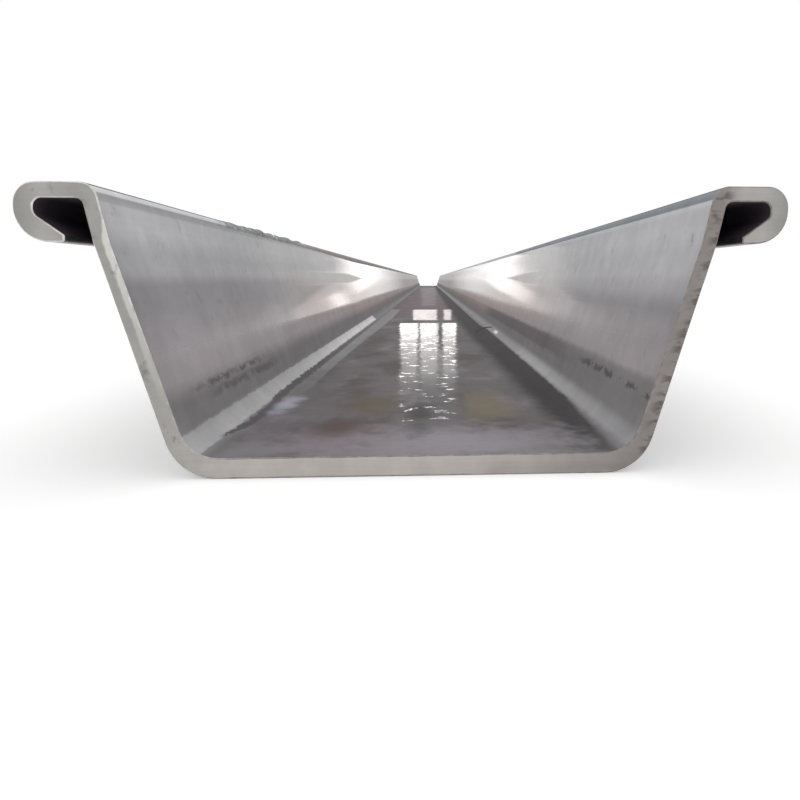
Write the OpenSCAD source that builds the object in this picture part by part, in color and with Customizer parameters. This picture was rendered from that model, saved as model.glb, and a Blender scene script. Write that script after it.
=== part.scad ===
// Steel sheet pile: one length of rolled U section with a hook along each edge, lying with its trough upwards.
// X runs across the section, Y along the pile and Z up; the origin is under the middle of the floor. Sizes are in mm.

/* [Pile] */

// Length of the pile between its sawn ends
pile_l = 12000; // [3000:100:18000]
// Height of the section from the underside of the floor to the top of the hooks
section_h = 210; // [190:1:240]

/* [Floor and webs] */

// Width of the floor's underside between the corners that its bends round off
floor_w = 335.4; // [300:0.2:400]
// Thickness of the floor
floor_t = 15.2; // [12:0.2:18]
// Thickness of a web where it leaves the floor
web_foot_t = 12; // [10:0.1:14]
// Lean of a web from upright
web_lean = 17.6; // [14:0.1:21]
// Inside radius of the bend between floor and web
bend_in_r = 28; // [20:0.5:36]
// Outside radius of the bend between floor and web
bend_out_r = 38; // [30:0.5:46]

/* [Neck of a web, beside its hook] */

// Thickness of the neck
neck_t = 10.8; // [9:0.1:12]
// Lean of the neck from upright
neck_lean = 12.8; // [10:0.1:16]
// Radius of the rounded edge where the neck meets the top of the hook, on the trough side
crest_r = 13; // [9:0.5:16]

/* [Hook] */

// Height of a hook from the underside of its lip to its top
hook_h = 41.6; // [40:0.2:45]
// Width of a hook from the web's outer face, level with the lip's underside, to the hook's outermost face
hook_w = 52.8; // [49:0.1:57]
// Thickness of the flange along the top of the hook
flange_t = 11.2; // [10:0.1:12.4]
// Thickness of the hook's outer side
curl_t = 13.2; // [11:0.1:15]
// Height of the hollow along the hook's outer side
hollow_side_h = 11; // [10.2:0.1:12]
// Slope of the lip's inner face below level
lip_slope = 35.5; // [32:0.5:38]
// Width of the mouth between the lip's tip and the web, level with the lip's underside
mouth_w = 19; // [17:0.1:22]
// Radius of the hook's upper outer corner
hook_top_r = 15; // [10:0.5:16]
// Radius of the hook's lower outer curve
hook_low_r = 24; // [18:0.5:25]
// Radius of the hollow's two upper corners
hollow_r = 6; // [4:0.25:7]
// Radius of the hollow's lower corner, where the lip starts
lip_root_r = 7; // [4:0.25:8]
// Radius of the two edges of the lip's tip
tip_r = 1.7; // [1:0.1:2]

/* [Hidden] */

// Facets of a whole circle
circle_facets = 120;
// Arcs are drawn this much over their radius, so that they cross the faces they round off
arc_ease = 1.002;
// Depth by which a corner piece reaches past the faces of its corner
corner_margin = 0.5;

// Levels, from the underside of the floor
lip_z = section_h - hook_h;
hollow_top_z = section_h - flange_t;
hollow_low_z = hollow_top_z - hollow_side_h;

// Distances from the middle of the section
floor_x = floor_w / 2;
web_lip_x = floor_x + lip_z * tan(web_lean);
hook_x = web_lip_x + hook_w;
hollow_x = hook_x - curl_t;
tip_x = web_lip_x + mouth_w;
neck_inner_x = web_lip_x - neck_t / cos(neck_lean);

// Corners of the right-hand half, before they are rounded
floor_out = [floor_x, 0];
web_lip = [web_lip_x, lip_z];
hollow_root = [web_lip_x + (hollow_top_z - lip_z) * tan(neck_lean), hollow_top_z];
hollow_corner = [hollow_x, hollow_top_z];
lip_root = [hollow_x, hollow_low_z];
tip_upper = [tip_x, hollow_low_z - (hollow_x - tip_x) * tan(lip_slope)];
tip_lower = [tip_x, lip_z];
hook_low = [hook_x, lip_z];
hook_top = [hook_x, section_h];
crest = [neck_inner_x + hook_h * tan(neck_lean), section_h];
neck_foot = [neck_inner_x, lip_z];
floor_in = [floor_x + floor_t * tan(web_lean) - web_foot_t / cos(web_lean), floor_t];

// Corners further out, where the trough and a hollow are open
trough_top = [crest[0] + corner_margin * tan(neck_lean), section_h + corner_margin];
mouth_web = [web_lip_x - corner_margin * tan(neck_lean), lip_z - corner_margin];
mouth_tip = [tip_x, lip_z - corner_margin];

// Piece to draw

function unit(v) = v / norm(v);

// Area between a corner at b, its neighbours being a and c, and the arc of radius r that rounds it off
module corner_piece(a, b, c, r) {
    side_a = unit(a - b);
    side_c = unit(c - b);
    half_angle = acos(side_a * side_c) / 2;
    inward = unit(side_a + side_c);
    touch = r / tan(half_angle);
    centre = b + inward * r / sin(half_angle);
    reach = (r + corner_margin) / r;
    difference() {
        polygon([
            centre,
            centre + (b + side_a * touch - centre) * reach,
            b - inward * corner_margin / sin(half_angle),
            centre + (b + side_c * touch - centre) * reach
        ]);
        translate(centre)
            circle(r = r * arc_ease, $fn = circle_facets);
    }
}

function mirrored(points) = [for (i = [len(points) - 1:-1:0]) [-points[i][0], points[i][1]]];

function both_halves(points) = concat(points, mirrored(points));

// Room between the webs, open at the top
module trough() {
    difference() {
        polygon(both_halves([floor_in, neck_foot, trough_top]));
        for (side = [0, 1])
            mirror([side, 0, 0])
                corner_piece([0, floor_t], floor_in, neck_foot, bend_in_r);
    }
}

// Room inside the right-hand hook, open at the mouth
module hollow() {
    difference() {
        polygon([mouth_web, hollow_root, hollow_corner, lip_root, tip_upper, mouth_tip]);
        corner_piece(web_lip, hollow_root, hollow_corner, hollow_r);
        corner_piece(hollow_root, hollow_corner, lip_root, hollow_r);
        corner_piece(hollow_corner, lip_root, tip_upper, lip_root_r);
    }
}

// Metal that the outside corners of the right-hand half lack
module outside_corners() {
    corner_piece([0, 0], floor_out, web_lip, bend_out_r);
    corner_piece(lip_root, tip_upper, tip_lower, tip_r);
    corner_piece(tip_upper, tip_lower, hook_low, tip_r);
    corner_piece(tip_lower, hook_low, hook_top, hook_low_r);
    corner_piece(hook_low, hook_top, crest, hook_top_r);
    corner_piece(hook_top, crest, neck_foot, crest_r);
}

module section() {
    difference() {
        polygon(both_halves([floor_out, web_lip, hook_low, hook_top]));
        trough();
        for (side = [0, 1])
            mirror([side, 0, 0])
                hollow();
        for (side = [0, 1])
            mirror([side, 0, 0])
                outside_corners();
    }
}

module sheet_pile() {
    color([0.55, 0.54, 0.52])
        rotate([90, 0, 0])
            linear_extrude(height = pile_l, center = true)
                section();
}

sheet_pile();
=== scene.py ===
"""Looks of a rolled steel sheet pile: a fine mesh of its section, steel finishes, floor, light and camera.

X runs across the section, Y along the pile from its near end and Z up. Sizes are in metres.
"""
import math

import bpy
import numpy as np
from mathutils import Euler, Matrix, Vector, noise


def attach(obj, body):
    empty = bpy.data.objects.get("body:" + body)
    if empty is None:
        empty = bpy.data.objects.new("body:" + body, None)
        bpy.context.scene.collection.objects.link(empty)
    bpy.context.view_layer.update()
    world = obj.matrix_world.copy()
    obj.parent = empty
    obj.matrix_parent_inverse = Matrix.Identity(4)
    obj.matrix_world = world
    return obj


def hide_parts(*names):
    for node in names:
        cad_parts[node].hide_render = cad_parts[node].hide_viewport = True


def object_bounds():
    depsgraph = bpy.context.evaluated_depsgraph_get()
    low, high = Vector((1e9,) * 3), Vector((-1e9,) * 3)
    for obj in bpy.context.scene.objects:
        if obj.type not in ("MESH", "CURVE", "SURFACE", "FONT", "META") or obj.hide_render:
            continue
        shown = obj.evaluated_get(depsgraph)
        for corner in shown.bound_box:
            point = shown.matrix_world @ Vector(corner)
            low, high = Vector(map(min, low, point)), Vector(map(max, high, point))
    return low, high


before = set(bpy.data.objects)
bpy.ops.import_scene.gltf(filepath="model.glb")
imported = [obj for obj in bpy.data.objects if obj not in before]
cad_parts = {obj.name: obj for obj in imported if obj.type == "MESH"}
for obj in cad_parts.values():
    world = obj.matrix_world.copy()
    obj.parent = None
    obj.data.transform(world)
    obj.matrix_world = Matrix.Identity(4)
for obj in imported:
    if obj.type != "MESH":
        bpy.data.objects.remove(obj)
cad_low, cad_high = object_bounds()
near_y = cad_low.y
far_y = cad_high.y
pile_l = far_y - near_y
section_h = cad_high.z

# Section of the pile, as the solid has it
FLOOR_W = 0.3354
FLOOR_T = 0.0152
WEB_FOOT_T = 0.012
WEB_LEAN = math.radians(17.6)
BEND_IN_R = 0.028
BEND_OUT_R = 0.038
NECK_T = 0.0108
NECK_LEAN = math.radians(12.8)
CREST_R = 0.013
HOOK_H = 0.0416
HOOK_W = 0.0528
FLANGE_T = 0.0112
CURL_T = 0.0132
HOLLOW_SIDE_H = 0.011
LIP_SLOPE = math.radians(35.5)
MOUTH_W = 0.019
HOOK_TOP_R = 0.015
HOOK_LOW_R = 0.024
HOLLOW_R = 0.006
LIP_ROOT_R = 0.007
TIP_R = 0.0017

# How finely the mesh follows the section and the length
STRAIGHT_STEP = 0.012
ARC_STEP = math.radians(9)
FINE_STEP = 0.006
FINE_L = 0.75
STEP_GROWTH = 1.04
# Edges sharper than this stay sharp in the shading
SHARP_ANGLE = math.radians(40)

# Worn edges of the sawn ends: how much is worn off, how unevenly, and the grain of that
EDGE_WORN = 0.0009
EDGE_UNEVEN = 0.0005
EDGE_GRAIN = 90
# Waves that rolling leaves in the surface: height, and how close they lie across and along the pile
ROLL_WAVE = 0.0002
WAVE_ACROSS = 6
WAVE_ALONG = 2.5
# Lumps of scale along the crest of the left web: stretch of the length, the lengths over which they rise
# and end, how far past the crest's rounding they reach, how softly, and their height
LUMPS_FROM = 0.27
LUMPS_TO = 0.76
LUMPS_RISE = 0.1
LUMPS_FALL = 0.04
LUMPS_PAST = 0.01
LUMPS_SOFT = 0.006
LUMP_H = 0.0028
# Broad and fine noise of the lumps, as its grain along and round the section and the slice that is used;
# share of the fine one, and a lift that lets more of the lumps show
LUMP_BROAD = (34, 30, 3.7)
LUMP_FINE = (80, 60, 9.1)
LUMP_FINE_SHARE = 0.4
LUMP_LIFT = 0.2

# Map for baking: share of its height for the rolled sides, foot and top of the sawn ends above them, and
# share of its width for each end
STRIP_SHARE = 0.72
END_FOOT = 0.75
END_TOP = 0.98
END_SHARE = 0.48

# The three materials of the mesh, in the order of its slots
ROLLED, SAWN, WORN = range(3)


def section_corners():
    """Corners of the right-hand half with their rounding, from the trough round the hook to the underside."""
    lip_z = section_h - HOOK_H
    hollow_top_z = section_h - FLANGE_T
    hollow_low_z = hollow_top_z - HOLLOW_SIDE_H
    floor_x = FLOOR_W / 2
    web_lip_x = floor_x + lip_z * math.tan(WEB_LEAN)
    hook_x = web_lip_x + HOOK_W
    hollow_x = hook_x - CURL_T
    tip_x = web_lip_x + MOUTH_W
    neck_in_x = web_lip_x - NECK_T / math.cos(NECK_LEAN)
    floor_in_x = floor_x + FLOOR_T * math.tan(WEB_LEAN) - WEB_FOOT_T / math.cos(WEB_LEAN)
    return {
        "floor_in": (floor_in_x, FLOOR_T, BEND_IN_R),
        "neck_foot": (neck_in_x, lip_z, 0.0),
        "crest": (neck_in_x + HOOK_H * math.tan(NECK_LEAN), section_h, CREST_R),
        "hook_top": (hook_x, section_h, HOOK_TOP_R),
        "hook_low": (hook_x, lip_z, HOOK_LOW_R),
        "tip_lower": (tip_x, lip_z, TIP_R),
        "tip_upper": (tip_x, hollow_low_z - (hollow_x - tip_x) * math.tan(LIP_SLOPE), TIP_R),
        "lip_root": (hollow_x, hollow_low_z, LIP_ROOT_R),
        "hollow_corner": (hollow_x, hollow_top_z, HOLLOW_R),
        "hollow_root": (web_lip_x + (hollow_top_z - lip_z) * math.tan(NECK_LEAN), hollow_top_z, HOLLOW_R),
        "web_lip": (web_lip_x, lip_z, 0.0),
        "floor_out": (floor_x, 0.0, BEND_OUT_R),
    }


def straight(start, end):
    """Points after start, up to end."""
    count = max(1, math.ceil((end - start).length / STRAIGHT_STEP))
    return [start.lerp(end, (i + 1) / count) for i in range(count)]


def arc(start, centre, turn):
    """Points after start, round centre by the angle turn."""
    count = max(2, math.ceil(abs(turn) / ARC_STEP))
    arm = start - centre
    points = []
    for i in range(count):
        angle = turn * (i + 1) / count
        cos, sin = math.cos(angle), math.sin(angle)
        points.append(centre + Vector((arm.x * cos - arm.y * sin, arm.x * sin + arm.y * cos)))
    return points


def half_outline():
    """Points of the right-hand half, and at which of them each corner's rounding starts and ends."""
    corners = section_corners()
    path = [Vector((0.0, FLOOR_T)), *(Vector(c[:2]) for c in corners.values()), Vector((0.0, 0.0))]
    points = [path[0]]
    places = {}
    for i, (name, (_, _, radius)) in enumerate(corners.items()):
        corner = path[i + 1]
        back = (path[i] - corner).normalized()
        on = (path[i + 2] - corner).normalized()
        turn = math.pi - back.angle(on)
        touch = radius * math.tan(turn / 2)
        points += straight(points[-1], corner + back * touch)
        places[name] = [len(points) - 1]
        if radius:
            centre = corner + (back + on).normalized() * (radius / math.cos(turn / 2))
            clockwise = back.x * on.y - back.y * on.x > 0
            points += arc(points[-1], centre, -turn if clockwise else turn)
        places[name].append(len(points) - 1)
    points += straight(points[-1], path[-1])
    return points, places


half, places = half_outline()
half_girth = [0.0]
for before, here in zip(half, half[1:]):
    half_girth.append(half_girth[-1] + (here - before).length)
# Girth, along the section from the middle of the trough's floor, where each corner's rounding starts and ends
corner_girth = {name: tuple(half_girth[i] for i in ends) for name, ends in places.items()}
girth_l = half_girth[-1]

# The whole ring: the right-hand half, then its mirror image back to the start
ring = np.array([*half, *(Vector((-p.x, p.y)) for p in half[-2:0:-1])])
ring_girth = np.array([*half_girth, *half_girth[-2:0:-1]])
ring_count = len(ring)
tangent = np.roll(ring, -1, axis=0) - np.roll(ring, 1, axis=0)
tangent /= np.linalg.norm(tangent, axis=1)[:, None]
outward = np.stack([-tangent[:, 1], tangent[:, 0]], axis=1)


def stations():
    """Distances from the near end at which the mesh has a ring: close at first, then further apart."""
    distances = [0.0, EDGE_WORN, *np.arange(FINE_STEP, FINE_L, FINE_STEP)]
    step = FINE_STEP
    while distances[-1] + step < pile_l - FINE_STEP:
        distances.append(distances[-1] + step)
        step *= STEP_GROWTH
    return [*distances, pile_l - EDGE_WORN, pile_l]


def smooth(value, low, high):
    """0 up to low, 1 from high on and smooth between."""
    t = min(1.0, max(0.0, (value - low) / (high - low)))
    return t * t * (3 - 2 * t)


def lump_noise(girth, along, grain):
    along_grain, girth_grain, part = grain
    return noise.noise(Vector((along * along_grain, girth * girth_grain, part)))


def lump(x, girth, along):
    """Height of the scale lumps at a place on the crest of the left web."""
    crest_from, crest_to = corner_girth["crest"]
    past = crest_to + LUMPS_PAST
    if x > 0 or not crest_from < girth < past:
        return 0.0
    begun = smooth(along, LUMPS_FROM, LUMPS_FROM + LUMPS_RISE)
    reach = begun * smooth(along, LUMPS_TO, LUMPS_TO - LUMPS_FALL)
    over = smooth(girth, crest_from, crest_from + LUMPS_SOFT) * smooth(girth, past, past - LUMPS_SOFT)
    bumps = lump_noise(girth, along, LUMP_BROAD) + LUMP_FINE_SHARE * lump_noise(girth, along, LUMP_FINE)
    return LUMP_H * reach * over * max(0.0, bumps + LUMP_LIFT)


def surface_lift(x, z, girth, along):
    """How far a point of the surface stands out from the plain section."""
    wave = noise.noise(Vector((x * WAVE_ACROSS, along * WAVE_ALONG, z * WAVE_ACROSS)))
    return ROLL_WAVE * wave + lump(x, girth, along)


def ring_points(along, worn):
    """One ring of the mesh; the part of each edge that is worn off by the sawing and handling is drawn in."""
    points = []
    for (x, z), (out_x, out_z), girth in zip(ring, outward, ring_girth):
        lift = surface_lift(x, z, girth, along)
        if worn:
            lift -= EDGE_WORN + EDGE_UNEVEN * noise.noise(Vector((x * EDGE_GRAIN, z * EDGE_GRAIN, along)))
        points.append((x + lift * out_x, near_y + along, z + lift * out_z))
    return points


def bake_map(mesh, ring_number):
    """A flat map of the mesh: the rolled sides as one strip below, and the two sawn ends above it."""
    around = np.append(0.0, np.cumsum(np.linalg.norm(np.roll(ring, -1, axis=0) - ring, axis=1)))
    around *= STRIP_SHARE / around[-1]
    side_count = (ring_number - 1) * ring_count
    layer = mesh.uv_layers.new(name="OFBake")
    for polygon in mesh.polygons:
        for loop in polygon.loop_indices:
            vert = mesh.loops[loop].vertex_index
            row, column = divmod(vert, ring_count)
            if polygon.index < side_count:
                wraps = column == 0 and polygon.index % ring_count == ring_count - 1
                layer.data[loop].uv = (row / (ring_number - 1), around[ring_count if wraps else column])
            else:
                x, _, z = mesh.vertices[vert].co
                across = (x / cad_high.x + 1) / 2
                left_edge = 0.0 if row == 0 else 1 - END_SHARE
                up = END_TOP - (END_TOP - END_FOOT) * (1 - z / section_h)
                layer.data[loop].uv = (left_edge + END_SHARE * across, up)


def pile_mesh():
    """The pile as one closed mesh: rings along the length, and a sawn face at each end."""
    distances = stations()
    last = len(distances) - 1
    verts = []
    for i, along in enumerate(distances):
        verts += ring_points(along, worn=i in (0, last))
    faces = []
    slots = []
    for i in range(last):
        for j in range(ring_count):
            k = (j + 1) % ring_count
            row, on = i * ring_count, (i + 1) * ring_count
            faces.append((row + j, on + j, on + k, row + k))
            slots.append(WORN if i in (0, last - 1) else ROLLED)
    faces.append(tuple(range(ring_count)))
    faces.append(tuple(last * ring_count + j for j in reversed(range(ring_count))))
    slots += [SAWN, SAWN]
    mesh = bpy.data.meshes.new("sheet_pile_steel")
    mesh.from_pydata(verts, [], faces)
    mesh.polygons.foreach_set("material_index", slots)
    mesh.polygons.foreach_set("use_smooth", [slot != SAWN for slot in slots])
    mesh.set_sharp_from_angle(angle=SHARP_ANGLE)
    girth = mesh.attributes.new("girth", "FLOAT", "POINT")
    girth.data.foreach_set("value", np.tile(ring_girth, len(distances)).astype(np.float32))
    mesh.validate()
    bake_map(mesh, len(distances))
    return mesh


def rgb(red, green, blue):
    """A colour as a screen shows it, from 0 to 255, as the linear values that a shader takes."""
    shares = [c / 255 for c in (red, green, blue)]
    return (*(s / 12.92 if s <= 0.04045 else ((s + 0.055) / 1.055) ** 2.4 for s in shares), 1.0)


# Range in which a noise texture mostly stays
NOISE_LOW = 0.3
NOISE_HIGH = 0.7


class Finish:
    """A material's node tree, with short calls for the nodes that the finishes use."""

    def __init__(self, name):
        self.material = bpy.data.materials.new(name)
        self.material.use_nodes = True
        self.tree = self.material.node_tree
        self.tree.nodes.clear()

    def node(self, kind, inputs, **settings):
        """A new node; an input that is a socket is linked, and any other is set."""
        made = self.tree.nodes.new(kind)
        for name, value in settings.items():
            setattr(made, name, value)
        for key, value in inputs.items():
            if isinstance(value, bpy.types.NodeSocket):
                self.tree.links.new(value, made.inputs[key])
            else:
                made.inputs[key].default_value = value
        return made

    def add(self, kind, inputs, output=0, **settings):
        """One output of a new node."""
        return self.node(kind, inputs, **settings).outputs[output]

    def place(self):
        """Place on the object, in the frame's metres."""
        return self.add("ShaderNodeTexCoord", {}, "Object")

    def axes(self, vector):
        """X, Y and Z of a vector."""
        return tuple(self.node("ShaderNodeSeparateXYZ", {0: vector}).outputs)

    def math(self, operation, a, b=0.0):
        return self.add("ShaderNodeMath", {0: a, 1: b}, operation=operation)

    def plus(self, a, b):
        return self.math("ADD", a, b)

    def minus(self, a, b):
        return self.math("SUBTRACT", a, b)

    def most(self, *values):
        """The largest of the values."""
        largest = values[0]
        for value in values[1:]:
            largest = self.math("MAXIMUM", largest, value)
        return largest

    def times(self, *values):
        product = values[0]
        for value in values[1:]:
            product = self.math("MULTIPLY", product, value)
        return product

    def step(self, value, low, high):
        """0 at low, 1 at high and smooth between; low may be the higher."""
        inputs = {"Value": value, "From Min": low, "From Max": high}
        return self.add("ShaderNodeMapRange", inputs, interpolation_type="SMOOTHSTEP")

    def scaled(self, value, low, high, to_low, to_high):
        """The range from low to high, as the range from to_low to to_high."""
        inputs = {"Value": value, "From Min": low, "From Max": high, "To Min": to_low, "To Max": to_high}
        return self.add("ShaderNodeMapRange", inputs)

    def swing(self, spread, to_low, to_high):
        """The middle part of a noise's range, as the range from to_low to to_high."""
        return self.scaled(spread, NOISE_LOW, NOISE_HIGH, to_low, to_high)

    def band(self, value, low, high, soft):
        """1 from low to high, with edges that are soft by that much each way."""
        rise = self.step(value, self.minus(low, soft), self.plus(low, soft))
        fall = self.step(value, self.plus(high, soft), self.minus(high, soft))
        return self.times(rise, fall)

    def stretched(self, vector, x, y, z):
        return self.add("ShaderNodeVectorMath", {0: vector, 1: (x, y, z)}, operation="MULTIPLY")

    def noise(self, vector, scale=1.0, detail=3.0, rough=0.55):
        inputs = {"Vector": vector, "Scale": scale, "Detail": detail, "Roughness": rough}
        return self.add("ShaderNodeTexNoise", inputs)

    def ramp(self, value, stops):
        """Colours along a value from 0 to 1."""
        made = self.node("ShaderNodeValToRGB", {0: value})
        elements = made.color_ramp.elements
        while len(elements) < len(stops):
            elements.new(1.0)
        for element, (position, colour) in zip(elements, stops):
            element.position = position
            element.color = colour
        return made.outputs[0]

    def mix(self, share, a, b):
        """Colour a, and b by that share."""
        return self.add("ShaderNodeMix", {0: share, 6: a, 7: b}, 2, data_type="RGBA")

    def blend(self, share, a, b):
        """Number a, and b by that share."""
        return self.add("ShaderNodeMix", {0: share, 2: a, 3: b}, 0, data_type="FLOAT")

    def shade(self, colour, level):
        """A colour times a number."""
        return self.add("ShaderNodeVectorMath", {0: colour, 3: level}, operation="SCALE")

    def bump(self, height, distance):
        return self.add("ShaderNodeBump", {"Height": height, "Distance": distance})

    def surface(self, shader):
        self.node("ShaderNodeOutputMaterial", {0: shader})
        return self.material


# Colours of the steel, as a screen shows them
FLOOR_GREY = rgb(106, 102, 104)
FLOOR_DARK = rgb(82, 75, 74)
FLOOR_PALE_SHEEN = rgb(136, 131, 137)
BEND_GREY = rgb(132, 130, 132)
STRIP_GREY = rgb(174, 174, 175)
STRIP_PALE = rgb(222, 221, 221)
SECOND_STRIP_GREY = rgb(140, 139, 140)
GROOVE_GREY = rgb(88, 85, 87)
DARK_BAND_GREY = rgb(62, 58, 59)
WEB_FOOT_GREY = rgb(136, 133, 135)
WEB_EDGE_GREY = rgb(178, 172, 175)
WEB_LOW_GREY = rgb(162, 156, 159)
WEB_SHADE_GREY = rgb(150, 147, 150)
WEB_HIGH_GREY = rgb(177, 176, 178)
WEB_TOP_GREY = rgb(192, 192, 194)
WEB_RIGHT_GREY = rgb(210, 209, 212)
WEB_WARM_GLARE_GREY = rgb(190, 162, 150)
TONGUE_GREY = rgb(182, 180, 180)
RIM_HIGHLIGHT_GREY = rgb(214, 216, 218)
RIM_DARK_GREY = rgb(98, 102, 106)
RIM_BLUE_GREY = rgb(136, 141, 146)
RIM_BROWN = rgb(148, 139, 139)
HOOK_GREY = rgb(146, 145, 143)
HOLLOW_SHADE_GREY = rgb(70, 62, 69)
SCALE_GREY = rgb(122, 120, 119)
SCALE_BLUE = rgb(98, 99, 103)
SCALE_WORN = rgb(150, 148, 146)
SCRATCH_GREY = rgb(182, 181, 179)
RUST_BROWN = rgb(122, 97, 82)
SCUFF_GREY = rgb(74, 69, 71)
SCUFF_SHADE = rgb(100, 93, 97)
LUMP_GREY = rgb(138, 139, 139)
SLIVER_BLACK = rgb(44, 39, 39)
GLINT = rgb(238, 238, 240)
BROWN_STAIN = rgb(92, 78, 76)
YELLOW_STAIN = rgb(120, 110, 88)
OLIVE_STAIN = rgb(100, 92, 80)
PINK_STAIN = rgb(140, 128, 134)
LAVENDER_SHEEN = rgb(146, 142, 148)
SKY_REFLECTION = rgb(164, 164, 178)
WET_DARK = rgb(70, 66, 68)
FAR_STAIN = rgb(112, 98, 103)

# Where marks lie on the section, as girth from the middle of the trough's floor
WET_END = 0.130
FLOOR_FLAT = 0.140
FLOOR_END = 0.150
WEB_FROM = 0.185
WEB_FOOT_TO = 0.210
WARM_TO = 0.285
UPPER_WEB = (0.262, 0.284)
SPECKS_FROM = (0.205, 0.215)
# Edges of the strips at the bends, as girth where each starts to show and where it is whole
LEFT_STRIP_LOW = (0.1515, 0.1535)
LEFT_STRIP_HIGH = (0.1720, 0.1690)
# The right one is a painted highlight on the bend
RIGHT_HIGHLIGHT_LOW = (0.1540, 0.1600)
RIGHT_HIGHLIGHT_HIGH = (0.1760, 0.1660)
SECOND_STRIP_HIGH = 0.145
# How far past a crest's rounding its marks end, and where the scale of the hook is whole
CREST_PAST = 0.004
HOOK_PAST = 0.010

# Where the left strip and its groove stop along the pile, and the second strip
STRIP_STOP = (1.55, 1.53)
SECOND_STOP = (2.26, 2.22)

# Wavy scuff lines low on the left web: girth from and to, softness, start and end along the pile, and share
LEFT_SCUFFS = (
    (0.1955, 0.2000, 0.0020, 0.06, 0.26, 1.0),
    (0.1845, 0.1915, 0.0025, 0.09, 0.30, 0.7),
)
# Broken row and dark zone of scuffs on the right web: girth from and to, and softness
RIGHT_SCUFFS = (0.1965, 0.2025, 0.0022)
SCUFF_ZONE = (0.188, 0.208, 0.003)

# Stains on the floor, and pale blots of painted sheen and painted sky reflection: tone, place across and
# along, half its size each way, and share
STAINS_AND_SHEENS = (
    (YELLOW_STAIN, 0.069, 0.190, 0.027, 0.100, 0.8),
    (OLIVE_STAIN, -0.043, 0.190, 0.030, 0.070, 0.9),
    # Painted sheen of the wet floor near the end
    (LAVENDER_SHEEN, 0.028, 0.035, 0.130, 0.060, 0.9),
    (PINK_STAIN, -0.060, 0.045, 0.060, 0.050, 0.5),
    (BROWN_STAIN, -0.068, 0.092, 0.022, 0.038, 1.0),
    # Painted reflection of the sky
    (SKY_REFLECTION, -0.135, 0.206, 0.014, 0.050, 1.0),
    (BEND_GREY, -0.128, 0.018, 0.030, 0.032, 0.8),
    (WET_DARK, 0.001, 0.145, 0.015, 0.085, 0.9),
    (FLOOR_DARK, -0.076, 0.340, 0.020, 0.070, 0.7),
    (FLOOR_DARK, -0.100, 0.850, 0.026, 0.240, 0.7),
)

# Wet runs on the floor fan out from a point before the near end: slopes of both edges, start
# and end along the pile, and how wet
FAN_X = 0.011
FAN_ALONG = -0.458
WET_RUNS = (
    (-0.0460, 0.0436, 0.09, 0.70, 0.6),
    (-0.0460, -0.0165, 0.09, 1.40, 1.0),
    (-0.0145, 0.0150, 0.09, 1.40, 1.0),
    (0.0205, 0.0436, 0.09, 1.40, 1.0),
    (-0.0253, 0.0129, 1.53, 2.22, 0.7),
    (0.0224, 0.0354, 1.53, 2.22, 0.7),
    (-0.0120, 0.0110, 2.60, 9.00, 0.2),
)

# Dull streak of each web: its middle as girth, half its width, where the right one ends, how much
# longer the left one is, and the length over which it narrows
TONGUE_GIRTH = 0.291
TONGUE_HALF = 0.0135
TONGUE_END = 1.18
TONGUE_LEFT_MORE = 0.50
TONGUE_NARROWS = 0.5

# Scratch across the right bend: where it crosses the bend, how it bows above and below that, half its
# width along the pile, and its ends as girth
SLIVER_ALONG = 1.17
SLIVER_GIRTH = 0.150
SLIVER_BOW_ABOVE = 350.0
SLIVER_BOW_BELOW = 155.0
SLIVER_HALF = 0.018
SLIVER_ENDS = (0.121, 0.166)
# Painted glint before the scratch: from, to and softness, along the pile and as girth
GLINT_ALONG = (0.935, 0.995, 0.012)
GLINT_GIRTH = (0.1595, 0.1665, 0.0025)

# How far the webs and hooks act as bare metal, under their thin scale
METAL_SHARE = 0.85
# Roughness of water, of the dull streaks and of dull places, and depth of the finest relief
WET_ROUGH = 0.08
TONGUE_ROUGH = 0.27
DULL_ROUGH = 0.75
GRAIN_DEPTH = 0.00012


def girth_tones():
    """Tones along the section, from the middle of the trough's floor to the middle of the underside."""
    crest_from, crest_to = corner_girth["crest"]
    return (
        (0.143, FLOOR_GREY),
        (0.152, BEND_GREY),
        (0.176, WEB_FOOT_GREY),
        (0.192, WEB_FOOT_GREY),
        (0.209, WEB_EDGE_GREY),
        (0.226, WEB_EDGE_GREY),
        (0.240, WEB_LOW_GREY),
        # Up the webs: a darker band at mid-height, then lighter tones higher up, both painted reflection
        (0.264, WEB_SHADE_GREY),
        (0.284, WEB_SHADE_GREY),
        (0.294, WEB_HIGH_GREY),
        (0.312, WEB_HIGH_GREY),
        (0.328, WEB_TOP_GREY),
        (crest_from, WEB_TOP_GREY),
        (crest_to, HOOK_GREY),
        (corner_girth["tip_lower"][0], HOOK_GREY),
        # Inside the hook's hollow: painted shade
        (corner_girth["tip_upper"][1], HOLLOW_SHADE_GREY),
        (corner_girth["web_lip"][0], HOLLOW_SHADE_GREY),
        (corner_girth["web_lip"][0] + 0.012, SCALE_GREY),
        (girth_l, SCALE_GREY),
    )


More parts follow.
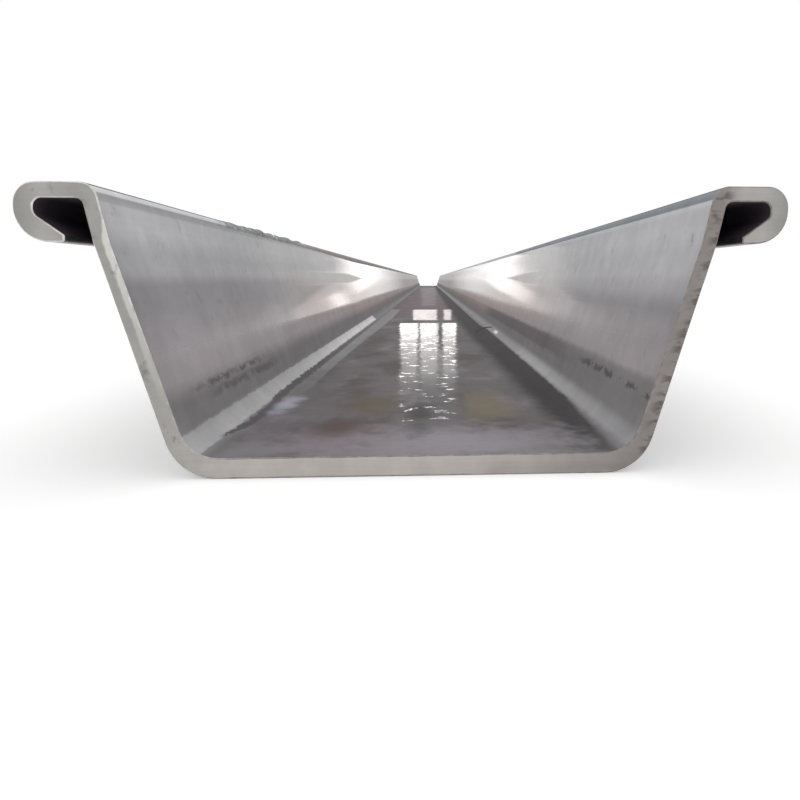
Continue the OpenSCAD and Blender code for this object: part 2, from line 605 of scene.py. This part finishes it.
class Rolled:
    """The rolled surface: lengthwise bands of wear and scale, scuffs, stains and the wet floor."""

    def __init__(self):
        f = self.f = Finish("rolled_steel")
        self.place = f.place()
        self.x, y, _ = f.axes(self.place)
        self.along = f.minus(y, near_y)
        self.girth = f.add("ShaderNodeAttribute", {}, "Fac", attribute_name="girth")
        self.right = f.step(self.x, -0.001, 0.001)
        self.left = f.step(self.x, 0.001, -0.001)
        self.cloud = f.noise(self.place, scale=9.0, detail=4.0)
        self.mottle = f.noise(self.place, scale=42.0, detail=4.0, rough=0.6)
        self.drip = f.noise(f.stretched(self.place, 9, 70, 9))
        self.roll_line = f.noise(f.stretched(self.place, 420, 1.5, 420), detail=2.0)
        self.ripple = f.noise(f.stretched(self.place, 48, 62, 48), detail=4.0, rough=0.65)
        self.ragged = f.noise(f.stretched(self.place, 120, 60, 120), detail=5.0, rough=0.65)
        self.ragged_girth = self.moved_girth(0.0012)
        crest_from, crest_to = corner_girth["crest"]
        lower_rim = f.times(self.left, f.scaled(self.along, 0.8, 1.5, 0.0, 0.006))
        self.rim_from = f.minus(crest_from, lower_rim)
        self.outer = f.step(self.girth, crest_to + CREST_PAST, crest_to + HOOK_PAST)
        self.in_hollow = f.band(self.girth, corner_girth["tip_upper"][1], corner_girth["web_lip"][0], 0.003)
        self.on_floor = f.step(self.girth, FLOOR_END, FLOOR_FLAT)
        self.on_web = f.band(self.girth, WEB_FROM, crest_from, 0.010)
        self.by_strip = f.times(self.left, f.step(self.along, *STRIP_STOP))

    def moved_girth(self, reach):
        """Girth with an uneven error of up to about that much."""
        return self.f.plus(self.girth, self.f.swing(self.ragged, -reach, reach))

    def bands(self):
        """Base tones along the section."""
        stops = [(girth / girth_l, tone) for girth, tone in girth_tones()]
        return self.f.ramp(self.f.math("DIVIDE", self.girth, girth_l), stops)

    def patches(self, colour):
        """Uneven tones of the floor, drawn out along it: brown-grey where it dried, and pale patches of
        painted sheen.
        """
        f = self.f
        patch = f.noise(f.stretched(self.place, 13, 6, 13), detail=5.0, rough=0.6)
        colour = f.mix(f.times(f.step(patch, 0.50, 0.34), self.on_floor, 0.7), colour, FLOOR_DARK)
        # Pale patches: painted sheen of the wet floor.
        colour = f.mix(f.times(f.step(patch, 0.52, 0.70), self.on_floor, 0.6), colour, FLOOR_PALE_SHEEN)
        far = f.times(f.step(self.along, 1.3, 2.0), f.scaled(self.along, 3.0, 5.0, 0.7, 0.2))
        return f.mix(f.times(far, self.on_floor), colour, FAR_STAIN)

    def mill_scale(self, colour):
        """Hooks, outside of the webs and underside: scale with worn patches, scratches and a little rust."""
        f = self.f
        outside = f.times(self.outer, f.minus(1.0, self.in_hollow))
        scale = f.noise(f.stretched(self.place, 14, 5, 14), detail=6.0, rough=0.62)
        scratch = f.noise(f.stretched(self.place, 260, 4, 260), detail=2.0)
        rust = f.noise(f.stretched(self.place, 25, 18, 25), detail=5.0, rough=0.65)
        marks = (
            (scale, 0.50, 0.62, 0.7, SCALE_WORN),
            (scale, 0.48, 0.36, 0.7, SCALE_BLUE),
            (scratch, 0.64, 0.72, 0.4, SCRATCH_GREY),
            (rust, 0.58, 0.72, 0.6, RUST_BROWN),
        )
        for spread, none_at, full_at, share, tone in marks:
            colour = f.mix(f.times(f.step(spread, none_at, full_at), outside, share), colour, tone)
        return colour

    def webs(self, colour):
        """Inside of the webs: lighter at the upper right, dull at the right foot, and warm further on, partly
        a painted tint of the glare.
        """
        f = self.f
        crest_from, crest_to = corner_girth["crest"]
        upper = f.times(f.step(self.girth, *UPPER_WEB), f.step(self.girth, crest_to, crest_from))
        colour = f.mix(f.times(upper, self.right, 0.4), colour, WEB_RIGHT_GREY)
        foot = f.times(f.band(self.ragged_girth, WEB_FROM, WEB_FOOT_TO, 0.004), self.right)
        colour = f.mix(f.times(foot, 0.8), colour, WEB_FOOT_GREY)
        # Warm tint where the webs glare: partly painted reflection colour.
        warm_from = f.scaled(self.along, 0.8, 1.4, 0.215, 0.190)
        warm = f.times(f.band(self.girth, warm_from, WARM_TO, 0.015), f.step(self.along, 0.35, 0.8))
        return f.mix(f.times(warm, f.scaled(self.along, 2.0, 4.0, 0.35, 0.15)), colour, WEB_WARM_GLARE_GREY)

    def strips(self, colour):
        """Pale strips along the bends: the left one paler further along, the right one a soft painted
        highlight; a greyer one lies beside the left strip and ends later.
        """
        f = self.f
        ragged = self.ragged_girth
        strip = f.times(f.step(ragged, *LEFT_STRIP_LOW), f.step(ragged, *LEFT_STRIP_HIGH), self.by_strip)
        colour = f.mix(strip, colour, f.mix(f.step(self.along, 0.1, 1.1), STRIP_GREY, STRIP_PALE))
        # Soft strip on the right bend: painted highlight.
        soft = f.times(f.step(ragged, *RIGHT_HIGHLIGHT_LOW), f.step(self.girth, *RIGHT_HIGHLIGHT_HIGH), self.right)
        growing = f.scaled(self.along, 0.0, 0.35, 0.34, 0.95)
        fading = f.scaled(self.along, 0.5, 0.75, 1.0, 0.55)
        colour = f.mix(f.times(soft, growing, fading), colour, STRIP_GREY)
        second_from = f.scaled(self.along, 0.6, 1.6, 0.128, 0.108)
        second = f.times(f.band(ragged, second_from, SECOND_STRIP_HIGH, 0.002), self.left)
        shown = f.times(f.step(self.along, 0.1, 0.7), f.step(self.along, *SECOND_STOP))
        return f.mix(f.times(second, shown), colour, SECOND_STRIP_GREY)

    def groove(self, colour):
        """Ragged groove along the lower edge of the left strip, which starts narrow near the end."""
        f = self.f
        crumbly = f.noise(f.stretched(self.place, 160, 90, 160), detail=4.0, rough=0.65)
        edge = f.plus(self.girth, f.swing(crumbly, -0.002, 0.002))
        sinking = f.scaled(self.along, 0.05, 0.11, 0.1535, 0.1460)
        centre = f.plus(sinking, f.scaled(self.along, 0.18, 0.26, 0.0, 0.0045))
        half_w = f.scaled(self.along, 0.05, 0.11, 0.0010, 0.0042)
        groove = f.band(edge, f.minus(centre, half_w), f.plus(centre, half_w), 0.0012)
        shown = f.times(f.step(self.along, 0.045, 0.06), f.scaled(self.along, 0.5, 1.5, 1.0, 0.3))
        return f.mix(f.times(groove, shown, self.by_strip), colour, GROOVE_GREY)

    def dark_band(self, colour):
        """Dark stretch of the floor beside the right strip; near the end it fades towards the strip."""
        f = self.f
        uneven = f.plus(self.girth, f.swing(self.mottle, -0.005, 0.005))
        over = f.minus(uneven, f.scaled(self.along, 0.05, 1.4, 0.127, 0.100))
        lifted = f.plus(self.ragged_girth, f.scaled(self.along, 1.1, 1.3, 0.0, 0.006))
        full_to = f.scaled(self.along, 0.03, 0.20, 0.145, 0.1530)
        band = f.times(f.step(over, -0.018, 0.010), f.step(lifted, 0.1570, full_to), self.right)
        shown = f.times(f.step(self.along, -0.12, 0.08), f.scaled(self.along, 0.05, 0.3, 0.95, 1.0))
        return f.mix(f.times(band, shown), colour, DARK_BAND_GREY)

    def floor_blot(self, colour, tone, x, along, half_x, half_along, share):
        """A blot with an uneven edge, on the floor of the trough."""
        f = self.f
        over_x = f.math("DIVIDE", f.minus(self.x, x), half_x)
        over_along = f.math("DIVIDE", f.minus(self.along, along), half_along)
        reach = f.math("SQRT", f.plus(f.times(over_x, over_x), f.times(over_along, over_along)))
        uneven = f.plus(reach, f.swing(self.mottle, -0.4, 0.4))
        return f.mix(f.times(f.step(uneven, 1.4, 0.1), self.on_floor, share), colour, tone)

    def scuffs(self, colour):
        """Scuffs low on the webs: two wavy lines on the left, a broken row and a dark zone on the right."""
        f = self.f
        teeth = f.noise(f.stretched(self.place, 75, 48, 75), detail=4.0, rough=0.6)
        wavy = f.plus(self.girth, f.swing(teeth, -0.003, 0.003))
        lines = 0.0
        for low, high, soft, start, end, share in LEFT_SCUFFS:
            line = f.times(f.band(wavy, low, high, soft), f.band(self.along, start, end, 0.03), share)
            lines = f.most(lines, line)
        colour = f.mix(f.times(lines, f.step(teeth, 0.33, 0.52), self.left, 0.65), colour, SCUFF_GREY)
        gaps = f.scaled(self.along, 0.08, 0.12, 0.50, 0.38)
        row = f.times(f.band(wavy, *RIGHT_SCUFFS), f.step(teeth, gaps, f.plus(gaps, 0.08)))
        row = f.times(row, self.right, f.step(self.along, 0.24, 0.19))
        colour = f.mix(f.times(row, 0.7), colour, SCUFF_GREY)
        zone = f.band(self.moved_girth(0.003), *SCUFF_ZONE)
        zone = f.times(zone, self.right, f.band(self.along, 0.31, 1.3, 0.15))
        return f.mix(f.times(zone, 0.6), colour, SCUFF_SHADE)

    def specks(self, colour):
        """Small faint marks, scattered over all but the floor and the bends."""
        f = self.f
        mark = f.step(f.noise(f.stretched(self.place, 90, 80, 60), detail=4.0, rough=0.6), 0.60, 0.74)
        return f.mix(f.times(mark, f.step(self.girth, *SPECKS_FROM), 0.25), colour, SCUFF_GREY)

    def sliver(self, colour):
        """A short dark scratch across the right bend, and a painted glint before it."""
        f = self.f
        above = f.most(f.minus(self.girth, SLIVER_GIRTH), 0.0)
        below = f.most(f.minus(SLIVER_GIRTH, self.girth), 0.0)
        bow = f.plus(f.times(above, above, SLIVER_BOW_ABOVE), f.times(below, below, SLIVER_BOW_BELOW))
        over = f.minus(f.plus(self.along, bow), SLIVER_ALONG)
        dark = f.band(over, -SLIVER_HALF, SLIVER_HALF, 0.004)
        dark = f.times(dark, f.band(self.girth, *SLIVER_ENDS, 0.001), self.right)
        colour = f.mix(dark, colour, SLIVER_BLACK)
        spot = f.times(f.band(self.along, *GLINT_ALONG), f.band(self.girth, *GLINT_GIRTH))
        return f.mix(f.times(spot, self.right), colour, GLINT)

    def crest(self, colour):
        """Crests: light lines of painted highlight under a dark top, with painted shade below the left one;
        the left brown further on, the right bluish near the end.
        """
        f = self.f
        crest_from, crest_to = corner_girth["crest"]
        highlight_to = crest_from + 0.0095
        top = crest_to + CREST_PAST
        # Painted shade under the left crest's highlight.
        shade = f.band(self.girth, crest_from - 0.003, crest_from + 0.004, 0.002)
        colour = f.mix(f.times(shade, self.left, 0.6), colour, WEB_SHADE_GREY)
        # Light line on the left crest's rounding: painted highlight.
        light = f.band(self.girth, crest_from + 0.0035, highlight_to, 0.0006)
        colour = f.mix(f.times(light, self.left), colour, RIM_HIGHLIGHT_GREY)
        brown = f.times(f.band(self.girth, self.rim_from, top, 0.001), f.step(self.along, 0.72, 0.78))
        colour = f.mix(f.times(brown, self.left), colour, RIM_BROWN)
        # Light line where the right crest's rounding starts: painted highlight.
        line = f.band(self.girth, crest_from - 0.003, crest_from, 0.002)
        colour = f.mix(f.times(line, self.right, 0.7), colour, RIM_HIGHLIGHT_GREY)
        blue = f.times(f.band(self.girth, crest_from + 0.0005, top, 0.0008), f.step(self.along, 1.10, 1.04))
        colour = f.mix(f.times(blue, self.right), colour, RIM_BLUE_GREY)
        dark_top = f.times(f.band(self.girth, highlight_to, top, 0.0006), f.step(self.along, 0.9, 0.6))
        return f.mix(dark_top, colour, RIM_DARK_GREY)

    def lumps(self, colour):
        """Dark scale over the lumps on the crest of the left web."""
        f = self.f
        crest_from, crest_to = corner_girth["crest"]
        shown = f.times(
            f.band(self.moved_girth(0.003), crest_from + 0.001, crest_to + 0.02, 0.001),
            self.left,
            f.step(f.plus(self.along, f.swing(self.ragged, -0.06, 0.06)), 0.24, 0.32),
            f.step(self.along, LUMPS_TO + 0.03, LUMPS_TO - 0.08),
            f.step(self.ragged, 0.66, 0.56),
        )
        return f.mix(shown, colour, LUMP_GREY)

    def tongue(self):
        """A dull streak along each web, which runs out to a point; the left one is longer."""
        f = self.f
        tip = f.plus(TONGUE_END, f.times(self.left, TONGUE_LEFT_MORE))
        half_w = f.times(f.step(self.along, tip, f.minus(tip, TONGUE_NARROWS)), TONGUE_HALF)
        off = f.math("ABSOLUTE", f.minus(self.girth, TONGUE_GIRTH))
        inside = f.step(off, f.plus(half_w, 0.003), f.minus(half_w, 0.004))
        before_tip = f.step(self.along, tip, f.minus(tip, 0.1))
        return f.times(inside, f.step(self.along, 0.25, 0.8), before_tip)

    def film(self):
        """Water on the floor, in runs that fan out along the pile, broken up by ripples near the end."""
        f = self.f
        ahead = f.minus(self.along, FAN_ALONG)
        uneven_x = f.plus(self.x, f.swing(self.mottle, -0.004, 0.004))
        soft = f.scaled(self.along, 1.4, 4.0, 0.004, 0.016)
        runs = 0.0
        for low_slope, high_slope, start, end, wet in WET_RUNS:
            low = f.plus(FAN_X, f.times(ahead, low_slope))
            high = f.plus(FAN_X, f.times(ahead, high_slope))
            across = f.band(uneven_x, low, high, soft)
            runs = f.most(runs, f.times(across, f.band(self.along, start, end, 0.02), wet))
        solid = f.times(f.step(self.along, 0.9, 1.4), -0.14)
        dry = f.plus(f.scaled(self.along, 0.1, 1.0, 0.57, 0.49), solid)
        cover = f.step(self.ripple, dry, f.plus(dry, 0.10))
        first_sheen = f.scaled(self.along, 0.20, 0.42, 0.05, 0.50)
        sheen = f.plus(first_sheen, f.scaled(self.along, 0.45, 1.1, 0.0, 0.22))
        return f.times(runs, f.most(cover, sheen), f.step(self.girth, FLOOR_FLAT, WET_END))

    def colour(self, tongue):
        """All the tones and marks of the surface, one over the other."""
        f = self.f
        colour = self.bands()
        for mark in (self.patches, self.mill_scale, self.webs, self.strips, self.groove, self.dark_band):
            colour = mark(colour)
        # Stains, and blots of painted sheen and painted sky reflection
        for row in STAINS_AND_SHEENS:
            colour = self.floor_blot(colour, *row)
        for mark in (self.scuffs, self.specks, self.sliver, self.crest, self.lumps):
            colour = mark(colour)
        reached = f.plus(self.along, f.times(self.right, 0.3))
        colour = f.mix(f.times(tongue, f.scaled(reached, 0.5, 1.10, 0.1, 1.0)), colour, TONGUE_GREY)
        # The last factor darkens the webs within 7 cm of the near end: painted shade.
        level = f.times(
            f.swing(self.cloud, 0.93, 1.07),
            f.swing(self.mottle, 0.94, 1.06),
            f.swing(self.drip, 0.97, 1.03),
            f.swing(self.roll_line, 0.985, 1.015),
            f.blend(self.on_web, 1.0, f.scaled(self.along, 0.0, 0.07, 0.84, 1.0)),
        )
        return f.shade(colour, level)

    def dullness(self):
        """How far dirt or scale hides the metal: low down, on crests, in hollows and on the far webs."""
        f = self.f
        gloss_from = f.plus(f.scaled(self.along, 0.2, 0.5, 0.250, 0.229), f.times(self.right, 0.018))
        gloss_from = f.plus(gloss_from, f.scaled(self.along, 0.65, 1.4, 0.0, 0.014))
        dull_to = f.minus(f.scaled(self.along, 0.2, 0.5, 0.180, 0.220), f.times(self.right, 0.015))
        lowered = f.plus(self.ragged_girth, f.scaled(self.along, 0.65, 1.2, 0.0, 0.010))
        low_down = f.step(lowered, gloss_from, dull_to)
        on_crest = f.band(self.girth, self.rim_from, corner_girth["crest"][1] + CREST_PAST, 0.001)
        far_web = f.times(self.on_web, f.scaled(self.along, 1.7, 5.0, 0.0, 0.5))
        return f.most(far_web, low_down, on_crest, self.in_hollow)

    def roughness(self, dull, tongue):
        """Bare webs are smoothest at a low angle, their outside is less smooth, and dull places are rough."""
        f = self.f
        glancing = f.add("ShaderNodeLayerWeight", {"Blend": 0.5}, "Facing")
        web_rough = f.blend(tongue, f.scaled(glancing, 0.5, 0.80, 0.26, 0.08), TONGUE_ROUGH)
        bare_rough = f.blend(self.outer, web_rough, f.swing(self.cloud, 0.22, 0.32))
        return f.blend(dull, bare_rough, DULL_ROUGH)

    def material(self):
        f = self.f
        tongue = self.tongue()
        dull = self.dullness()
        film = self.film()
        grain = f.plus(f.times(self.roll_line, 0.3), f.times(self.mottle, 0.25))
        shader = f.add("ShaderNodeBsdfPrincipled", {
            "Base Color": self.colour(tongue),
            "Metallic": f.scaled(dull, 0, 1, METAL_SHARE, 0.0),
            "Roughness": f.blend(film, self.roughness(dull, tongue), WET_ROUGH),
            "Specular IOR Level": 0.25,
            "Specular Tint": (0.5, 0.5, 0.5, 1.0),
            "Normal": f.bump(f.blend(film, grain, self.ripple), GRAIN_DEPTH),
        })
        return f.surface(shader)


# Tones of the sawn end, and of its worn edge from dark to light
SAWN_LEFT = rgb(160, 158, 154)
SAWN_MIDDLE = rgb(182, 176, 172)
SAWN_RIGHT = rgb(138, 132, 129)
SAWN_FLANGE = rgb(170, 167, 164)
SAWN_OUTER = rgb(147, 145, 142)
SAWN_EDGE_HIGHLIGHT = rgb(214, 212, 206)
SMUDGE_BROWN = rgb(84, 74, 68)
WORN_DULL = ((0.3, rgb(118, 113, 109)), (0.65, rgb(152, 147, 144)))
WORN_BRIGHT_HIGHLIGHT = ((0.3, rgb(186, 185, 180)), (0.65, rgb(224, 224, 222)))
# Tones across the sawn end, by the distance from its middle
SAWN_TONES = (
    (-0.274, SAWN_OUTER),
    (-0.255, SAWN_FLANGE),
    (-0.23, SAWN_LEFT),
    (-0.19, SAWN_LEFT),
    (-0.125, SAWN_MIDDLE),
    (0.04, SAWN_MIDDLE),
    (0.165, SAWN_RIGHT),
    (0.225, SAWN_RIGHT),
    (0.24, SAWN_FLANGE),
    (0.255, SAWN_FLANGE),
    (0.274, SAWN_OUTER),
)
# Where marks start across the sawn end, as the distance from its middle: none, and all
EDGE_HIGHLIGHT_X = (-0.15, -0.17)
RUBBED_HIGHLIT_X = (-0.12, -0.15)
SPECK_X = (-0.12, -0.16)
SMUDGE_X = (0.13, 0.15)
SMUDGE_END_X = (0.236, 0.226)
# Heights between which the edge of the left web grows bright, as a painted highlight
BRIGHT_FROM_Z = 0.05
BRIGHT_FULL_Z = 0.15


def sawn_steel():
    """Sawn end: warm pale grey with faint level streaks, duller on the right, and smudged from that rim."""
    f = Finish("sawn_steel")
    place = f.place()
    x, _, z = f.axes(place)
    half_w = cad_high.x
    stops = [((at / half_w + 1) / 2, tone) for at, tone in SAWN_TONES]
    colour = f.ramp(f.scaled(x, -half_w, half_w, 0.0, 1.0), stops)
    streak = f.noise(f.stretched(place, 18, 18, 420))
    cloud = f.noise(place, scale=40.0, detail=5.0, rough=0.6)
    colour = f.shade(colour, f.times(f.swing(streak, 0.97, 1.03), f.swing(cloud, 0.90, 1.10)))
    corners = section_corners()
    foot_x, foot_z, _ = corners["floor_in"]
    neck_x, neck_z, _ = corners["neck_foot"]
    inner_x = f.scaled(z, foot_z, neck_z, foot_x, neck_x)
    from_edge = f.plus(f.plus(x, inner_x), f.swing(cloud, -0.001, 0.001))
    # Light band along the inner edge of the left web, brighter higher up: painted highlight.
    higher = f.scaled(z, BRIGHT_FROM_Z, BRIGHT_FULL_Z, 0.0, 0.9)
    bright = f.times(f.step(from_edge, -0.0055, -0.0035), higher, f.step(x, *EDGE_HIGHLIGHT_X))
    colour = f.mix(bright, colour, SAWN_EDGE_HIGHLIGHT)
    smudge = f.noise(f.stretched(place, 60, 60, 150), detail=4.0, rough=0.6)
    rim = f.step(f.minus(x, inner_x), 0.001, 0.010)
    dirty = f.times(f.step(smudge, 0.46, 0.60), f.step(x, *SMUDGE_X), f.step(x, *SMUDGE_END_X), rim)
    colour = f.mix(f.times(dirty, 0.75), colour, SMUDGE_BROWN)
    fleck = f.noise(place, scale=60.0, detail=4.0, rough=0.6)
    speck = f.times(f.step(fleck, 0.58, 0.70), f.step(x, *SPECK_X))
    colour = f.mix(f.times(speck, 0.45), colour, SMUDGE_BROWN)
    shader = f.add("ShaderNodeBsdfPrincipled", {
        "Base Color": colour,
        "Metallic": 0.5,
        "Roughness": 0.5,
        "Normal": f.bump(streak, 0.00008),
    })
    return f.surface(shader)


def worn_steel():
    """Worn edge of a sawn end: bright along the left web, most of all higher up, where it is rubbed and
    carries a painted highlight; dull elsewhere.
    """
    f = Finish("worn_steel")
    place = f.place()
    x, _, z = f.axes(place)
    speckle = f.noise(place, scale=160.0)
    # Rubbed metal along the left web, with a painted highlight that grows higher up.
    rubbed_and_highlit = f.times(f.step(x, *RUBBED_HIGHLIT_X), f.scaled(z, BRIGHT_FROM_Z, BRIGHT_FULL_Z, 0.45, 1.0))
    shader = f.add("ShaderNodeBsdfPrincipled", {
        "Base Color": f.mix(rubbed_and_highlit, f.ramp(speckle, WORN_DULL), f.ramp(speckle, WORN_BRIGHT_HIGHLIGHT)),
        "Metallic": f.scaled(rubbed_and_highlit, 0.0, 1.0, 0.1, 0.7),
        "Roughness": f.scaled(rubbed_and_highlit, 0.0, 1.0, 0.7, 0.4),
    })
    return f.surface(shader)


pile = bpy.data.objects.new("sheet_pile_steel", pile_mesh())
bpy.context.scene.collection.objects.link(pile)
for material in (Rolled().material(), sawn_steel(), worn_steel()):
    pile.data.materials.append(material)
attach(pile, "root")
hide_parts("sheet_pile")

# Studio: a white world and a pale floor that shows as white, lit softly from above and from the front
WORLD_LEVEL = 0.85
FLOOR_TONE = 0.85
FLOOR_GLOW = 0.28
STAGE_HALF = 60.0


def seen_directly(tree):
    """1 for rays from the camera, and for those that a gloss or a clear surface sends on."""
    path = tree.nodes.new("ShaderNodeLightPath")
    total = path.outputs["Is Camera Ray"]
    for name in ("Is Glossy Ray", "Is Transmission Ray"):
        either = tree.nodes.new("ShaderNodeMath")
        either.operation = "MAXIMUM"
        tree.links.new(total, either.inputs[0])
        tree.links.new(path.outputs[name], either.inputs[1])
        total = either.outputs[0]
    return total


def white_world():
    """White where it is seen, and a little less bright as a light."""
    world = bpy.data.worlds.new("studio")
    world.use_nodes = True
    tree = world.node_tree
    tree.nodes.clear()
    soft = tree.nodes.new("ShaderNodeBackground")
    soft.inputs["Strength"].default_value = WORLD_LEVEL
    white = tree.nodes.new("ShaderNodeBackground")
    for background in (soft, white):
        background.inputs["Color"].default_value = (1.0, 1.0, 1.0, 1.0)
    mixed = tree.nodes.new("ShaderNodeMixShader")
    tree.links.new(seen_directly(tree), mixed.inputs[0])
    tree.links.new(soft.outputs[0], mixed.inputs[1])
    tree.links.new(white.outputs[0], mixed.inputs[2])
    out = tree.nodes.new("ShaderNodeOutputWorld")
    tree.links.new(mixed.outputs[0], out.inputs[0])
    bpy.context.scene.world = world


def pale_floor():
    """A wide pale floor, which keeps the shadow of the pile."""
    f = Finish("studio_floor")
    glow = f.times(seen_directly(f.tree), FLOOR_GLOW)
    shader = f.add("ShaderNodeBsdfPrincipled", {
        "Base Color": (FLOOR_TONE, FLOOR_TONE, FLOOR_TONE, 1.0),
        "Roughness": 0.9,
        "Specular IOR Level": 0.0,
        "Emission Color": (1.0, 1.0, 1.0, 1.0),
        "Emission Strength": glow,
    })
    mesh = bpy.data.meshes.new("studio_floor")
    corners = [(-1, -1), (1, -1), (1, 1), (-1, 1)]
    mesh.from_pydata([(x * STAGE_HALF, y * STAGE_HALF, 0.0) for x, y in corners], [], [(0, 1, 2, 3)])
    mesh.materials.append(f.surface(shader))
    floor = bpy.data.objects.new("studio_floor", mesh)
    bpy.context.scene.collection.objects.link(floor)


def softbox(name, location, target, width, height, level, tint=(1.0, 1.0, 1.0), in_gloss=False):
    """A large soft lamp; level is the brightness of its face, and in_gloss shows it in reflections."""
    lamp = bpy.data.lights.new(name, "AREA")
    lamp.color = tint
    lamp.shape = "RECTANGLE"
    lamp.size = width
    lamp.size_y = height
    lamp.energy = level * math.pi * width * height
    box = bpy.data.objects.new(name, lamp)
    box.location = location
    box.rotation_euler = (Vector(target) - Vector(location)).to_track_quat("-Z", "Y").to_euler()
    box.visible_camera = False
    box.visible_glossy = in_gloss
    bpy.context.scene.collection.objects.link(box)


white_world()
pale_floor()
softbox("overhead", (0.0, 0.0, 4.0), (0.0, 0.0, 0.0), width=5.0, height=16.0, level=0.25)
softbox("front", (-1.0, -9.0, 2.0), (0.0, near_y, 0.1), width=3.0, height=2.0, level=0.5)

# Lamps of several sizes beyond the far end, which the wet floor and the webs reflect: left and right
# edge, foot and top, and level
PANES_Y = far_y + 8.0
PANE_TINT = (1.0, 0.93, 0.89)
PANES = (
    (-1.03, -0.36, 1.57, 4.9, 3.0),
    (-0.31, 0.25, 1.57, 4.9, 3.0),
    (0.45, 0.87, 1.57, 4.9, 3.0),
    (2.18, 2.48, 0.93, 1.40, 3.0),
    (3.33, 3.65, 1.20, 1.75, 0.8),
    (2.00, 3.70, 0.95, 1.75, 0.5),
    (3.70, 4.80, 1.20, 2.30, 0.3),
    (1.90, 4.00, 1.95, 3.30, 0.15),
    (0.80, 1.78, 0.95, 1.95, 1.7),
    (0.90, 2.00, 0.50, 0.95, 0.5),
    (-1.90, -1.15, 1.08, 2.10, 1.8),
    (-2.55, -1.90, 1.15, 1.62, 1.7),
    (-3.10, -1.90, 1.62, 2.90, 0.35),
    (-4.20, -2.55, 1.10, 2.30, 0.6),
    (-2.60, -0.80, 0.55, 1.08, 0.3),
    (-1.15, -0.60, 0.60, 1.40, 0.35),
)
for number, (pane_left, pane_right, foot, top, pane_level) in enumerate(PANES):
    middle_x = (pane_left + pane_right) / 2
    middle_z = (foot + top) / 2
    softbox(
        f"pane_{number}",
        (middle_x, PANES_Y, middle_z),
        (middle_x, near_y, middle_z),
        width=pane_right - pane_left,
        height=top - foot,
        level=pane_level,
        tint=PANE_TINT,
        in_gloss=True,
    )

# Camera, close to the near end and a little to its right, looking along the trough
IMAGE_SIDE = 800
FOCAL_PX = 640
CENTRE_PX = (463.1, 318.2)
CAMERA_PLACE = (0.0112, near_y - 0.4581, 0.1428)
CAMERA_YAW = math.radians(3.05)
CAMERA_PITCH = math.radians(3.5)
camera_data = bpy.data.cameras.new("camera")
camera_data.sensor_width = 36.0
camera_data.lens = camera_data.sensor_width * FOCAL_PX / IMAGE_SIDE
camera_data.shift_x = (IMAGE_SIDE / 2 - CENTRE_PX[0]) / IMAGE_SIDE
camera_data.shift_y = (CENTRE_PX[1] - IMAGE_SIDE / 2) / IMAGE_SIDE
camera_data.clip_start = 0.01
camera = bpy.data.objects.new("camera", camera_data)
camera.location = CAMERA_PLACE
camera.rotation_euler = Euler((math.pi / 2 - CAMERA_PITCH, 0.0, -CAMERA_YAW))
bpy.context.scene.collection.objects.link(camera)
bpy.context.scene.camera = camera
bpy.context.scene.view_settings.view_transform = "Standard"
